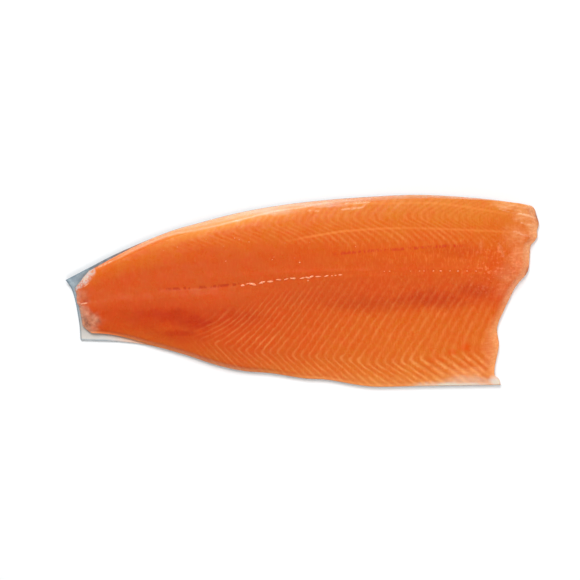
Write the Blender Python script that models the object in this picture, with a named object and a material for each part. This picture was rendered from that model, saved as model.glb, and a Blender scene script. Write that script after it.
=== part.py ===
"""A raw side of salmon, skin on, lying with its skin down.

The side is two solids: the flesh, and under it the skin with its silver fat layer, which shows
as a thin rim round the flesh and as a bare flap at the tail.

Frame: metres, +Z up. +X runs from the tail to the collar and +Y from the belly to the back. The
origin is on the surface that the side lies on, at the middle of its outline's box.
"""

import math

import bmesh
import bpy
import numpy as np

MM = 0.001

# Plan outline of the skin, in millimetres: the ends of each list meet the next one
BACK_EDGE = [
    (-237, 11), (-214, 23), (-183, 39.5), (-136, 59.5), (-103, 69), (-63, 79),
    (-23, 85.5), (17, 90.3), (57, 93.5), (107, 96), (147, 95), (187, 92), (217, 88),
]
BELLY_EDGE = [
    (-222.5, -49), (-183, -50.5), (-153, -54.5), (-119, -63.5), (-87, -74), (-60, -80),
    (-31, -82.5), (1, -87.5), (25, -89), (57, -94.5), (77, -96), (117, -95.3), (195.5, -94),
]
TAIL_CUT = [(-222.5, -49), (-224, -32), (-227.5, -12), (-231.5, 2), (-237, 11)]
COLLAR_CUT = [
    (195.5, -94), (194, -88), (191.5, -83), (193.5, -70), (196.5, -54), (194.5, -37), (200, -20),
    (212, 5), (222, 13.5), (225.5, 29), (227, 45), (234, 52), (236.5, 67), (234, 80), (227, 86),
    (217, 88),
]
END_FADE = 4  # how fast the wobbles of the two cuts die away inside the side

# Height of the flesh, in millimetres above the surface, at its thickest along the side
LOIN_HEIGHT = [
    (-240, 6.5), (-213, 9.5), (-175, 14), (-136, 18.5), (-80, 23.5), (0, 27.5), (70, 29),
    (140, 27.5), (185, 24), (212, 17), (240, 8),
]
# Shares of that height across the side, from the belly edge at 0 to the back edge at 1
ACROSS_TAIL = [
    (0, 0.42), (0.08, 0.62), (0.2, 0.82), (0.42, 0.97), (0.53, 0.92), (0.63, 0.98), (0.85, 1),
    (1, 0.9),
]
ACROSS_BELLY = [
    (0, 0.19), (0.08, 0.25), (0.17, 0.35), (0.3, 0.4), (0.4, 0.47), (0.5, 0.68), (0.59, 0.84),
    (0.63, 0.85), (0.78, 0.98), (0.88, 1), (1, 0.92),
]
BELLY_STARTS, BELLY_FULL = -105, 25  # where the hollow of the belly begins and is full, along X

SKIN = 1.2  # thickness of the skin and its fat
GAP = 0.3  # room left between the two solids
BACK_CURL, BACK_CURL_WIDTH = 4.5, 20  # the skin rises round the back of the fish
BELLY_CURL, BELLY_CURL_WIDTH = 1.2, 12
EDGE_HEIGHT = 2.2  # height of the flesh's own cut face, all round
BACK_SLOPE, COLLAR_SLOPE, TAIL_SLOPE, BELLY_SLOPE = 7.5, 9, 4, 5  # widths of the sloped rims
RIM_BULGE = 1.7  # 1 would make the rims straight slopes
LEAST_RISE = 0.5  # the upper face is at least this much above its rim

# How far the flesh stops short of the skin's outline
BARE = 0.9
BARE_TAIL, BARE_TAIL_CORNER, BARE_TAIL_BELLY, BARE_TAIL_BACK = 3.0, 8.0, 8.0, 5.0
BARE_FADE = (0.02, 0.17)  # shares of the length over which the long edges' bare rims narrow
CORNER_STARTS = 0.6  # share of the width where the tail's bare corner begins

# The muscle is stacked in flakes, each bounded by a W-shaped sheet of fat, a septum
FLAKES = 48
FLAKE_RELIEF = 0.45
RELIEF_STARTS, RELIEF_FULL = 4, 14  # distances in from the rim
MIDLINE_CALM, MIDLINE_CALM_WIDTH = 0.6, 0.1  # the relief is weaker along the midline
TAIL_RELIEF, TAIL_RELIEF_ENDS, FULL_RELIEF_FROM = 0.35, -150, -60  # and towards the tail
BELLY_FOLD, MIDLINE, SHOULDER, CREST = 0.15, 0.6, 0.74, 0.885  # turns of the W, belly to back
BELLY_SWEEP, FLANK_SWEEP, BACK_SWEEP, TOP_SWEEP = 1.75, 0.62, 1.15, 0.75  # slants between them
TURN = 0.03  # rounding of each turn, as a share of the width
SWEEP_MIDDLE = 25  # the septa's mean lead over their belly fold, in millimetres
SWEEP_FADE = 0.16  # share of the length, at each end, over which the grid leaves the W

COLUMNS, ROWS = 2 * FLAKES, 28  # cells of the flesh's upper face
ROW_CROWDING = 0.8  # how far the rows crowd towards the two long edges
SHARP_ANGLE = 40  # edges that turn more than this stay sharp, in degrees

FLESH_COLOUR = (0.78, 0.16, 0.03, 1)
SKIN_COLOUR = (0.42, 0.46, 0.48, 1)


def clear_scene():
    for thing in list(bpy.data.objects):
        bpy.data.objects.remove(thing)


def smooth_path(points, steps=16):
    """A dense line of points on one smooth curve through the given ones (Catmull-Rom)."""
    given = np.array(points, float)
    padded = np.vstack([2 * given[0] - given[1], given, 2 * given[-1] - given[-2]])
    share = np.linspace(0, 1, steps, endpoint=False)[:, None]
    line = []
    for before, start, end, after in zip(padded, padded[1:], padded[2:], padded[3:]):
        leave, arrive = (end - before) / 2, (after - start) / 2
        line.append(
            (2 * share**3 - 3 * share**2 + 1) * start
            + (share**3 - 2 * share**2 + share) * leave
            + (3 * share**2 - 2 * share**3) * end
            + (share**3 - share**2) * arrive
        )
    return np.vstack([*line, given[-1:]])


def along(path, share):
    """Points at these shares of the path's own length."""
    run = np.concatenate([[0], np.cumsum(np.linalg.norm(np.diff(path, axis=0), axis=1))])
    at = np.asarray(share) * run[-1]
    return np.stack([np.interp(at, run, path[:, 0]), np.interp(at, run, path[:, 1])], -1)


def level(points, at):
    """Height of the smooth curve through the points, at these places along it."""
    path = smooth_path(points)
    return np.interp(at, path[:, 0], path[:, 1])


def smooth_step(low, high, value):
    share = np.clip((value - low) / (high - low), 0, 1)
    return share * share * (3 - 2 * share)


def soft_ramp(value):
    """0 below 0 and the value above it, with the corner rounded."""
    rounded = (value + TURN) ** 2 / (4 * TURN)
    return np.where(value < -TURN, 0, np.where(value > TURN, value, rounded))


def outline():
    """The four edges as smooth paths, shifted so that their box is centred on the origin."""
    edges = [smooth_path(edge) for edge in (BELLY_EDGE, BACK_EDGE, TAIL_CUT, COLLAR_CUT)]
    every = np.vstack(edges)
    middle = (every.min(0) + every.max(0)) / 2
    return [edge - middle for edge in edges]


BELLY, BACK, TAIL, COLLAR = outline()


def plan(u, v):
    """Plan point u of the way from tail to collar and v of the way from belly to back."""
    across = v[:, None]
    between = (1 - across) * along(BELLY, u) + across * along(BACK, u)
    tail_bulge = along(TAIL, v) - ((1 - across) * TAIL[0] + across * TAIL[-1])
    collar_bulge = along(COLLAR, v) - ((1 - across) * COLLAR[0] + across * COLLAR[-1])
    near_tail, near_collar = (1 - u[:, None]) ** END_FADE, u[:, None] ** END_FADE
    return between + near_tail * tail_bulge + near_collar * collar_bulge


def spans(u, v):
    """Length of the side along a row, and its width along a column."""
    length = np.linalg.norm(along(COLLAR, v) - along(TAIL, v), axis=1)
    width = np.linalg.norm(along(BACK, u) - along(BELLY, u), axis=1)
    return length, width


def septum_sweep(v, width):
    """How far towards the collar a septum leads its own belly fold, in millimetres."""
    flap = BELLY_SWEEP * soft_ramp(BELLY_FOLD - v)
    flank = FLANK_SWEEP * (soft_ramp(v - BELLY_FOLD) - soft_ramp(v - MIDLINE))
    back = -BACK_SWEEP * (soft_ramp(v - SHOULDER) - soft_ramp(v - CREST))
    top = TOP_SWEEP * soft_ramp(v - CREST)
    return width * (flap + flank + back + top)


def follow_septa(u, v):
    """Moves u so that grid columns run along the septa, except close to the two cuts."""
    length, width = spans(u, v)
    inside = smooth_step(0, SWEEP_FADE, u) * smooth_step(0, SWEEP_FADE, 1 - u)
    return u + inside * (septum_sweep(v, width) - SWEEP_MIDDLE) / length


def stop_short(u, v):
    """Draws u and v in from the skin's outline to the flesh's own outline."""
    length, width = spans(u, v)
    by_tail = 1 - smooth_step(*BARE_FADE, u)
    belly = BARE + (BARE_TAIL_BELLY - BARE) * by_tail
    back = BARE + (BARE_TAIL_BACK - BARE) * by_tail
    tail = BARE_TAIL + (BARE_TAIL_CORNER - BARE_TAIL) * smooth_step(CORNER_STARTS, 1, v)
    inner_u = tail / length + u * (1 - (tail + BARE) / length)
    inner_v = belly / width + v * (1 - (belly + back) / width)
    return inner_u, inner_v


def skin_underside(u, v):
    """Height of the skin's lower face: flat, and curled up along the two long edges."""
    _, width = spans(u, v)
    from_back, from_belly = (1 - v) * width, v * width
    back = BACK_CURL * np.clip(1 - from_back / BACK_CURL_WIDTH, 0, 1) ** 2
    belly = BELLY_CURL * np.clip(1 - from_belly / BELLY_CURL_WIDTH, 0, 1) ** 2
    return back + belly


def rounded_rise(distance, slope):
    """Share of the full height at this distance in from an edge."""
    near = np.clip(distance / slope, 0, 1)
    return 1 - (1 - near) ** RIM_BULGE


def flesh_height(x, u, v):
    """Height of the flesh's upper face, without its flakes."""
    length, width = spans(u, v)
    belly_share = smooth_step(BELLY_STARTS, BELLY_FULL, x)
    across = (1 - belly_share) * level(ACROSS_TAIL, v) + belly_share * level(ACROSS_BELLY, v)
    edge = skin_underside(u, v) + SKIN + GAP + EDGE_HEIGHT
    rise = (
        rounded_rise((1 - v) * width, BACK_SLOPE)
        * rounded_rise(v * width, BELLY_SLOPE)
        * rounded_rise(u * length, TAIL_SLOPE)
        * rounded_rise((1 - u) * length, COLLAR_SLOPE)
    )
    return edge + np.maximum(level(LOIN_HEIGHT, x) * across - edge, LEAST_RISE) * rise


def flake_relief(column, x, u, v):
    """Grooves on the septa, which are the even columns, and flakes that stand up between."""
    length, width = spans(u, v)
    from_edge = np.minimum.reduce([v * width, (1 - v) * width, u * length, (1 - u) * length])
    clear_of_edge = smooth_step(RELIEF_STARTS, RELIEF_FULL, from_edge)
    near_midline = np.exp(-(((v - MIDLINE) / MIDLINE_CALM_WIDTH) ** 2))
    smooth_middle = 1 - MIDLINE_CALM * near_midline
    past_tail = smooth_step(TAIL_RELIEF_ENDS, FULL_RELIEF_FROM, x)
    towards_tail = TAIL_RELIEF + (1 - TAIL_RELIEF) * past_tail
    side = np.where(column % 2 == 0, -1, 1)
    return side * FLAKE_RELIEF * clear_of_edge * smooth_middle * towards_tail


def slab(columns, rows):
    """A closed slab of square cells, from 0 to 1 in X and Y, with its two faces at Z 0 and 1."""
    mesh = bmesh.new()
    bmesh.ops.create_grid(mesh, x_segments=columns, y_segments=rows, size=0.5)
    bmesh.ops.translate(mesh, verts=mesh.verts, vec=(0.5, 0.5, 0))
    lifted = bmesh.ops.extrude_face_region(mesh, geom=mesh.faces[:], use_keep_orig=True)
    upper = [item for item in lifted["geom"] if isinstance(item, bmesh.types.BMVert)]
    bmesh.ops.translate(mesh, verts=upper, vec=(0, 0, 1))
    return mesh


def cells_of(mesh, columns, rows):
    """Column and row number of each vertex of a slab, and whether it is in the upper face."""
    places = np.array([vertex.co for vertex in mesh.verts])
    column = np.rint(places[:, 0] * columns).astype(int)
    row = np.rint(places[:, 1] * rows).astype(int)
    return column, row, places[:, 2] > 0.5


def thin_out_underside(mesh, columns, rows):
    """Merges the lower face's cells two by two, because it is nearly flat."""
    for both_odd in (True, False):
        column, row, upper = cells_of(mesh, columns, rows)
        odd_column, odd_row = column % 2 == 1, row % 2 == 1
        inside = (column > 0) & (column < columns) & (row > 0) & (row < rows) & ~upper
        chosen = inside & (odd_column & odd_row if both_odd else odd_column | odd_row)
        loose = [vertex for vertex, merge in zip(mesh.verts, chosen) if merge]
        bmesh.ops.dissolve_verts(mesh, verts=loose)


def row_share(row, rows):
    """Place of a row from belly to back, crowded towards both long edges."""
    even = row / rows
    eased = (1 - np.cos(math.pi * even)) / 2
    return (1 - ROW_CROWDING) * even + ROW_CROWDING * eased


def shape_slab(mesh, points):
    """Moves each vertex to its point, given in millimetres, and turns the faces outwards."""
    for vertex, point in zip(mesh.verts, points):
        vertex.co = point * MM
    bmesh.ops.recalc_face_normals(mesh, faces=mesh.faces)


def make_flesh(collection):
    """The muscle: an uneven upper face with flakes, and a lower face that follows the skin."""
    mesh = slab(COLUMNS, ROWS)
    thin_out_underside(mesh, COLUMNS, ROWS)
    column, row, upper = cells_of(mesh, COLUMNS, ROWS)
    v = row_share(row, ROWS)
    u = follow_septa(column / COLUMNS, v)
    inner_u, inner_v = stop_short(u, v)
    place = plan(inner_u, inner_v)
    low = skin_underside(inner_u, inner_v) + SKIN + GAP
    high = flesh_height(place[:, 0], u, v) + flake_relief(column, place[:, 0], u, v)
    shape_slab(mesh, np.column_stack([place, np.where(upper, high, low)]))
    return add_object("flesh", mesh, make_material("raw_flesh", FLESH_COLOUR, 0.35, 0), collection)


def make_skin(collection):
    """The skin: a thin sheet of even thickness, curled up at its long edges."""
    columns, rows = COLUMNS // 2, ROWS // 2
    mesh = slab(columns, rows)
    column, row, upper = cells_of(mesh, columns, rows)
    u, v = column / columns, row_share(row, rows)
    low = skin_underside(u, v)
    shape_slab(mesh, np.column_stack([plan(u, v), np.where(upper, low + SKIN, low)]))
    return add_object("skin", mesh, make_material("silver_skin", SKIN_COLOUR, 0.3, 0.3), collection)


def make_material(name, colour, roughness, metallic):
    material = bpy.data.materials.new(name)
    material.use_nodes = True
    shader = material.node_tree.nodes["Principled BSDF"]
    shader.inputs["Base Color"].default_value = colour
    shader.inputs["Roughness"].default_value = roughness
    shader.inputs["Metallic"].default_value = metallic
    return material


def add_object(name, mesh, material, collection):
    data = bpy.data.meshes.new(name)
    mesh.to_mesh(data)
    mesh.free()
    data.materials.append(material)
    data.shade_smooth()
    data.set_sharp_from_angle(angle=math.radians(SHARP_ANGLE))
    thing = bpy.data.objects.new(name, data)
    collection.objects.link(thing)
    return thing


def main():
    clear_scene()
    side = bpy.data.collections.new("salmon_side")
    bpy.context.scene.collection.children.link(side)
    make_skin(side)
    make_flesh(side)


main()
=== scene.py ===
# %% [markdown]
# # A raw side of salmon
#
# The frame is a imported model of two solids, the flesh and the skin under it. This lesson dresses
# them: the flesh gets its flakes, fat lines and beads of fat, and the skin gets its scales and its
# silver. Every length below is in millimetres until it goes into a mesh, because that is how a
# fishmonger would measure a side, and one factor turns it into Blender's metres.

# %% Load the frame
import math

import bmesh
import bpy
import numpy as np
from mathutils import Matrix, Vector, noise


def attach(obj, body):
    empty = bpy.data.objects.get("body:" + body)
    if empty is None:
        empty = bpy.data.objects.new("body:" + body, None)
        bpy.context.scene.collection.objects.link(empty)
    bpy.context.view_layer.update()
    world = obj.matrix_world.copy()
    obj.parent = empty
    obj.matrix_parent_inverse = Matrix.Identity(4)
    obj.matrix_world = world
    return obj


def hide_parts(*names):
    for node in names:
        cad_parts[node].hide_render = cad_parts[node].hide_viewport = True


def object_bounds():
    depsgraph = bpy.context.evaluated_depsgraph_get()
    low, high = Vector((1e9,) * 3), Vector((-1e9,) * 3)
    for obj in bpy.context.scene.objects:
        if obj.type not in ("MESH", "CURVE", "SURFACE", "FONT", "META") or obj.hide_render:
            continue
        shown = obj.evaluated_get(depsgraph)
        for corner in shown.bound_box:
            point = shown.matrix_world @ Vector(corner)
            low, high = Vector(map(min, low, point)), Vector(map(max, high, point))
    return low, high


MM = 0.001
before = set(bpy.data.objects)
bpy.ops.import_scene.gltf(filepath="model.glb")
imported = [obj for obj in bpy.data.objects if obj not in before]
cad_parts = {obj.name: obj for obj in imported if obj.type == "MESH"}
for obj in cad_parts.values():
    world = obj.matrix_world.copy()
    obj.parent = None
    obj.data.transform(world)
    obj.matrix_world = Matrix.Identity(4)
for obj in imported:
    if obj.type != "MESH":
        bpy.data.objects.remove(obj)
cad_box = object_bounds()
print("nodes", sorted(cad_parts), "box", [round(side / MM, 1) for side in cad_box[1] - cad_box[0]])

# %% [markdown]
# ## Camera
#
# The side was photographed from straight above, so the camera looks down with the back of the
# fish at the top of the picture. A long lens from 1.6 m flattens it as a studio camera would. One
# pixel of the 580 pixel picture is one millimetre, and the middle of the picture lies a little
# towards the tail of the side's own middle.

# %% Camera
PICTURE = 580
CAMERA_HEIGHT = 1600
RIM_HEIGHT = 4
PICTURE_MIDDLE = (-12.6, 1.0)


def make_camera():
    lens = bpy.data.cameras.new("camera")
    lens.sensor_width = 36
    lens.lens = lens.sensor_width * (CAMERA_HEIGHT - RIM_HEIGHT) / PICTURE
    camera = bpy.data.objects.new("camera", lens)
    camera.location = (PICTURE_MIDDLE[0] * MM, PICTURE_MIDDLE[1] * MM, CAMERA_HEIGHT * MM)
    bpy.context.scene.collection.objects.link(camera)
    bpy.context.scene.camera = camera
    return camera


print("lens", round(make_camera().data.lens, 1), "mm")

# %% [markdown]
# ## Studio
#
# Wet flesh mirrors whatever is straight above it, and a lamp there would lay a white veil over
# the orange. So the main lamp is a wide soft one on the back's side of the fish: it lights the
# slope along the back, leaves the slope of the belly a shade darker, and its reflection shows
# only as small glints on the ridge. Two weaker lamps fill in from the collar and from the belly,
# which the wet flesh doesn't mirror, and a pale world lightens the shadows.

# %% Studio
LAMPS = {  # name: place in metres, size in metres, watts, whether the wet flesh mirrors it
    "key_from_back": ((-0.4, 1.1, 1.5), 1.2, 31, True),
    "fill_from_collar": ((1.5, 0.1, 1.1), 1.0, 9, False),
    "fill_from_belly": ((0.2, -1.5, 1.3), 1.4, 11, False),
}
WORLD_STRENGTH = 0.3
FLOOR_SIZE = 6


def make_lamp(name, place, size, watts, mirrored):
    light = bpy.data.lights.new(name, "AREA")
    light.shape = "DISK"
    light.size = size
    light.energy = watts
    lamp = bpy.data.objects.new(name, light)
    lamp.location = place
    lamp.rotation_euler = (-Vector(place)).to_track_quat("-Z", "Y").to_euler()
    lamp.visible_glossy = mirrored
    bpy.context.scene.collection.objects.link(lamp)


def make_floor():
    mesh = bmesh.new()
    bmesh.ops.create_grid(mesh, x_segments=1, y_segments=1, size=FLOOR_SIZE / 2)
    data = bpy.data.meshes.new("floor")
    mesh.to_mesh(data)
    mesh.free()
    floor = bpy.data.objects.new("floor", data)
    bpy.context.scene.collection.objects.link(floor)
    paint = bpy.data.materials.new("pale_floor")
    paint.use_nodes = True
    shader = paint.node_tree.nodes["Principled BSDF"]
    shader.inputs["Base Color"].default_value = (0.92, 0.93, 0.94, 1)
    shader.inputs["Roughness"].default_value = 0.8
    shader.inputs["Specular IOR Level"].default_value = 0.2
    data.materials.append(paint)


def make_world():
    world = bpy.data.worlds.new("soft_white")
    world.use_nodes = True
    sky = world.node_tree.nodes["Background"]
    sky.inputs["Color"].default_value = (1, 1, 1, 1)
    sky.inputs["Strength"].default_value = WORLD_STRENGTH
    bpy.context.scene.world = world
    bpy.context.scene.view_settings.view_transform = "Standard"


for lamp_name, settings in LAMPS.items():
    make_lamp(lamp_name, *settings)
make_floor()
make_world()
print("lamps", list(LAMPS))

# %% [markdown]
# ## The outline of the side
#
# A side has four edges: the back, where the knife ran along the fins, the belly, the short cut at
# the tail and the long uneven cut behind the collar. Each one is a smooth curve through a few
# points. They keep close to the edges of the solids and are finer at the collar, where the corner,
# the notch and the pointed tip of the belly flap show. Any point of the side is then a pair of
# shares: `u` of the way from tail to collar and `v` of the way from belly to back.

# %% Outline
BACK_EDGE = [
    (-237, 11), (-214, 23), (-183, 38.8), (-136, 58.4), (-103, 68.2), (-63, 78.4),
    (-23, 85.5), (17, 90.3), (57, 93.5), (107, 96), (147, 94.8), (187, 91.4), (217, 86.9),
]
BELLY_EDGE = [
    (-222.5, -49), (-183, -50.5), (-153, -54.5), (-119, -63.5), (-87, -74), (-60, -80),
    (-31, -82.5), (1, -87.5), (25, -89), (57, -94.5), (77, -96), (117, -95.3), (198, -94),
]
TAIL_CUT = [(-222.5, -49), (-224, -32), (-227.5, -12), (-231.5, 2), (-237, 11)]
COLLAR_CUT = [
    (198, -94), (196.6, -88.3), (192.4, -84.3), (192.2, -78), (193.5, -70), (196.5, -54),
    (194.7, -37), (201.2, -20), (207.2, -7.5), (211.9, 2), (216.9, 9), (222.6, 15), (226, 21.5),
    (227, 30), (227.4, 38), (228.4, 45.5), (231.8, 49.4), (234.8, 54.5), (234.7, 60.5),
    (236.5, 67.5), (234.3, 75), (232.4, 81.6), (229, 85), (223.5, 86.3), (217, 86.9),
]
END_FADE = 4  # how fast the shape of the two cuts fades out between them


def smooth_path(points, steps=16):
    """A dense line of points on one smooth curve through the given ones (Catmull-Rom)."""
    given = np.array(points, float)
    padded = np.vstack([2 * given[0] - given[1], given, 2 * given[-1] - given[-2]])
    share = np.linspace(0, 1, steps, endpoint=False)[:, None]
    line = []
    for before, start, end, after in zip(padded, padded[1:], padded[2:], padded[3:]):
        leave, arrive = (end - before) / 2, (after - start) / 2
        line.append(
            (2 * share**3 - 3 * share**2 + 1) * start
            + (share**3 - 2 * share**2 + share) * leave
            + (3 * share**2 - 2 * share**3) * end
            + (share**3 - share**2) * arrive
        )
    return np.vstack([*line, given[-1:]])


def along(path, share):
    """Points at these shares of the path's own length."""
    run = np.concatenate([[0], np.cumsum(np.linalg.norm(np.diff(path, axis=0), axis=1))])
    at = np.asarray(share) * run[-1]
    return np.stack([np.interp(at, run, path[:, 0]), np.interp(at, run, path[:, 1])], -1)


def level(points, at):
    """Height of the smooth curve through the points, at these places along it."""
    path = smooth_path(points)
    return np.interp(at, path[:, 0], path[:, 1])


def between(points, at):
    """Height of the straight lines from point to point, at these places along them."""
    return np.interp(at, *zip(*points))


def outline():
    """The four edges as smooth paths, shifted so that their box is centred on the origin."""
    edges = [smooth_path(edge) for edge in (BELLY_EDGE, BACK_EDGE, TAIL_CUT, COLLAR_CUT)]
    every = np.vstack(edges)
    middle = (every.min(0) + every.max(0)) / 2
    return [edge - middle for edge in edges]


BELLY, BACK, TAIL, COLLAR = outline()


def plan(u, v):
    """Plan point u of the way from tail to collar and v of the way from belly to back."""
    across = v[:, None]
    straight = (1 - across) * along(BELLY, u) + across * along(BACK, u)
    tail_bulge = along(TAIL, v) - ((1 - across) * TAIL[0] + across * TAIL[-1])
    collar_bulge = along(COLLAR, v) - ((1 - across) * COLLAR[0] + across * COLLAR[-1])
    near_tail, near_collar = (1 - u[:, None]) ** END_FADE, u[:, None] ** END_FADE
    return straight + near_tail * tail_bulge + near_collar * collar_bulge


def spans(u, v):
    """Length of the side along a row, and its width along a column."""
    length = np.linalg.norm(along(COLLAR, v) - along(TAIL, v), axis=1)
    width = np.linalg.norm(along(BACK, u) - along(BELLY, u), axis=1)
    return length, width


print("edges", [len(edge) for edge in (BELLY, BACK, TAIL, COLLAR)])

# %% [markdown]
# ## The large form
#
# The loin along the back is thick, the belly wall is thin, and between them the side slopes down
# where the ribs were. Towards the tail both halves are alike. The height is the loin's height at
# that place along the fish, times a share across it, and it falls to a low cut face at the rims.
# At the tail the flesh ends ragged, and the skin shows past it.

# %% Large form
LOIN_HEIGHT = [
    (-240, 6.5), (-213, 9.5), (-175, 14), (-136, 18.5), (-80, 23.5), (0, 27.5), (70, 29),
    (140, 27.5), (185, 24), (212, 17), (240, 8),
]
ACROSS_TAIL = [
    (0, 0.42), (0.08, 0.62), (0.2, 0.82), (0.42, 0.96), (0.53, 0.95), (0.63, 0.98), (0.85, 1),
    (1, 0.9),
]
ACROSS_BELLY = [
    (0, 0.19), (0.08, 0.25), (0.17, 0.35), (0.3, 0.4), (0.4, 0.47), (0.5, 0.68), (0.59, 0.84),
    (0.63, 0.85), (0.78, 0.98), (0.88, 1), (1, 0.92),
]
BELLY_STARTS, BELLY_FULL = -105, 25
SKIN, GAP, EDGE_HEIGHT = 1.2, 0.3, 2.2
LEAST_RISE = 0.5  # the upper face is at least this much above its rim
BACK_CURL, BACK_CURL_WIDTH = 4.5, 20
BELLY_CURL, BELLY_CURL_WIDTH = 1.2, 12
BACK_SLOPE, COLLAR_SLOPE, TAIL_SLOPE, BELLY_SLOPE = 7.5, 9, 4, 5
RIM_BULGE = 1.7  # 1 would make the rims straight slopes

# How far the flesh stops short of the skin's outline
BARE = 0.4
BARE_AT_BACK, BARE_AT_BELLY = 2.5, 6.5  # along the two long edges, near the tail
BARE_FADE = (0.02, 0.17)  # shares of the length over which those two narrow
BARE_AT_TAIL = [
    (0, 12), (0.05, 8), (0.12, 4), (0.2, 3), (0.5, 2.8), (0.6, 1.6), (0.73, 3.2), (0.83, 4.5),
    (0.9, 11), (0.95, 17), (1, 24),
]
TAIL_RAGS = [(9, 6, 1.1), (3.5, 7, 0.66)]  # size, seed and height of each layer of noise
LEAST_BARE = 0.8
SEED_STEPS = (17.3, 5.1, 9.7)  # each seed reads the noise at a place of its own


def smooth_step(low, high, value):
    share = np.clip((value - low) / (high - low), 0, 1)
    return share * share * (3 - 2 * share)


def perlin(x, y, size, seed):
    """Smooth noise between -1 and 1, with lumps of about this size in millimetres."""
    aside, ahead, above = (seed * step for step in SEED_STEPS)
    places = zip(x / size + aside, y / size + ahead)
    return np.array([noise.noise((place_x, place_y, above)) for place_x, place_y in places])


def lumpy(x, y, layers):
    """Layers of smooth noise added up, each with its size, its seed and its height."""
    return sum(height * perlin(x, y, size, seed) for size, seed, height in layers)


def stop_short(u, v):
    """Draws u and v in from the skin's outline to the flesh's own outline."""
    length, width = spans(u, v)
    by_tail = 1 - smooth_step(*BARE_FADE, u)
    belly = BARE + (BARE_AT_BELLY - BARE) * by_tail
    back = BARE + (BARE_AT_BACK - BARE) * by_tail
    tail = np.maximum(level(BARE_AT_TAIL, v) + lumpy(0 * v, v * width, TAIL_RAGS), LEAST_BARE)
    inner_u = tail / length + u * (1 - (tail + BARE) / length)
    inner_v = belly / width + v * (1 - (belly + back) / width)
    return inner_u, inner_v


def skin_underside(u, v):
    """Height of the skin's lower face: flat, and curled up along the two long edges."""
    _, width = spans(u, v)
    back = BACK_CURL * np.clip(1 - (1 - v) * width / BACK_CURL_WIDTH, 0, 1) ** 2
    belly = BELLY_CURL * np.clip(1 - v * width / BELLY_CURL_WIDTH, 0, 1) ** 2
    return back + belly


def rounded_rise(distance, slope):
    """Share of the full height at this distance in from an edge."""
    return 1 - (1 - np.clip(distance / slope, 0, 1)) ** RIM_BULGE


def flesh_height(x, u, v):
    """Height of the flesh's upper face, without its flakes."""
    length, width = spans(u, v)
    belly_share = smooth_step(BELLY_STARTS, BELLY_FULL, x)
    across = (1 - belly_share) * level(ACROSS_TAIL, v) + belly_share * level(ACROSS_BELLY, v)
    edge = skin_underside(u, v) + SKIN + GAP + EDGE_HEIGHT
    rise = (
        rounded_rise((1 - v) * width, BACK_SLOPE)
        * rounded_rise(v * width, BELLY_SLOPE)
        * rounded_rise(u * length, TAIL_SLOPE)
        * rounded_rise((1 - u) * length, COLLAR_SLOPE)
    )
    return edge + np.maximum(level(LOIN_HEIGHT, x) * across - edge, LEAST_RISE) * rise


print("loin at its thickest", max(height for _, height in LOIN_HEIGHT), "mm")

# %% [markdown]
# ## The flakes
#
# Fish muscle is a stack of W-shaped flakes, and a thin sheet of fat, a septum, parts each two.
# Cut flat, the septa show as pale lines that turn sharply at the belly fold, run up the flank
# with a slight bend, stand upright near the midline, lean back in the loin and turn once more
# near the back edge. Gaps and slants change along the fish. One number, the count of septa
# passed since the tail, says where a point lies in that stack. It goes into a UV map, so that the
# relief here and the fat lines of the material later follow the very same sheets.

# %% Flakes
FOLD_SEPTUM = (46.4, 36)  # one septum: where it turns at the belly fold, and its number
FLANK_SPACING = [(-250, 7.7), (0, 7.7), (40, 8.6), (90, 9.0), (130, 9.3), (300, 9.3)]
FLAP_SPACING = [
    (-250, 7.7), (0, 7.7), (40, 8.6), (98, 8.5), (112, 10.7), (150, 10.3), (300, 9.9),
]
LOIN_SPACING = [
    (-250, 6.6), (-60, 6.6), (-10, 7.2), (40, 8.2), (70, 8.4), (100, 7.8), (300, 7.6),
]

# Where the septa turn, as shares of the width from the belly edge
BELLY_FOLD = [
    (-250, 0.15), (-90, 0.15), (-50, 0.128), (50, 0.127), (97, 0.134), (115, 0.145), (150, 0.17),
    (175, 0.18), (300, 0.18),
]
FLANK_BEND = 0.31
MIDLINE, SHOULDER, SEAM, CREST = 0.61, 0.74, 0.815, 0.885
TURN, FOLD_TURN = 0.03, 0.014  # rounding of the turns, as shares of the width

# How far a septum runs along the side while it crosses one millimetre, by the place of its turn
FLAP_SWEEP = [(-250, 1.3), (0, 1.2), (60, 1.5), (140, 1.4), (170, 1.1), (300, 1.0)]
LOW_FLANK_SWEEP = [
    (-250, 1.9), (-110, 1.7), (-95, 1.42), (-77, 1.18), (-58, 0.95), (-25, 0.73), (10, 0.66),
    (60, 0.6), (110, 0.56), (150, 0.48), (300, 0.4),
]
HIGH_FLANK_SWEEP = [
    (-250, 1.2), (-110, 1.1), (-90, 1.0), (-60, 0.8), (-25, 0.72), (10, 0.67), (60, 0.64),
    (110, 0.6), (150, 0.5), (300, 0.42),
]
LOIN_FLANK_SWEEP = [(-250, 0.55), (300, 0.55)]
SHOULDER_SWEEP, BACK_SWEEP = 0.05, -1.15
SEAM_SWEEP = [(-250, -2.0), (120, -2.0), (180, -2.5), (300, -2.6)]
TOP_SWEEP = [(-250, 0.6), (-30, 0.7), (80, 1.2), (140, 1.8), (300, 2.8)]
LOIN_JOIN = (0.6, 0.7)  # where the flank's septa meet the loin's own
FLAP_JOIN = (0.145, 0.27)  # and where they meet the belly flap's


def soft_ramp(value, turn=TURN):
    """0 below 0 and the value above it, with the corner rounded."""
    rounded = (value + turn) ** 2 / (4 * turn)
    return np.where(value < -turn, 0, np.where(value > turn, value, rounded))


def cross_section(x):
    """Y of the belly edge, and the width from there to the back edge, straight across at x."""
    low = np.interp(x, BELLY[:, 0], BELLY[:, 1])
    return low, np.interp(x, BACK[:, 0], BACK[:, 1]) - low


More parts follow.
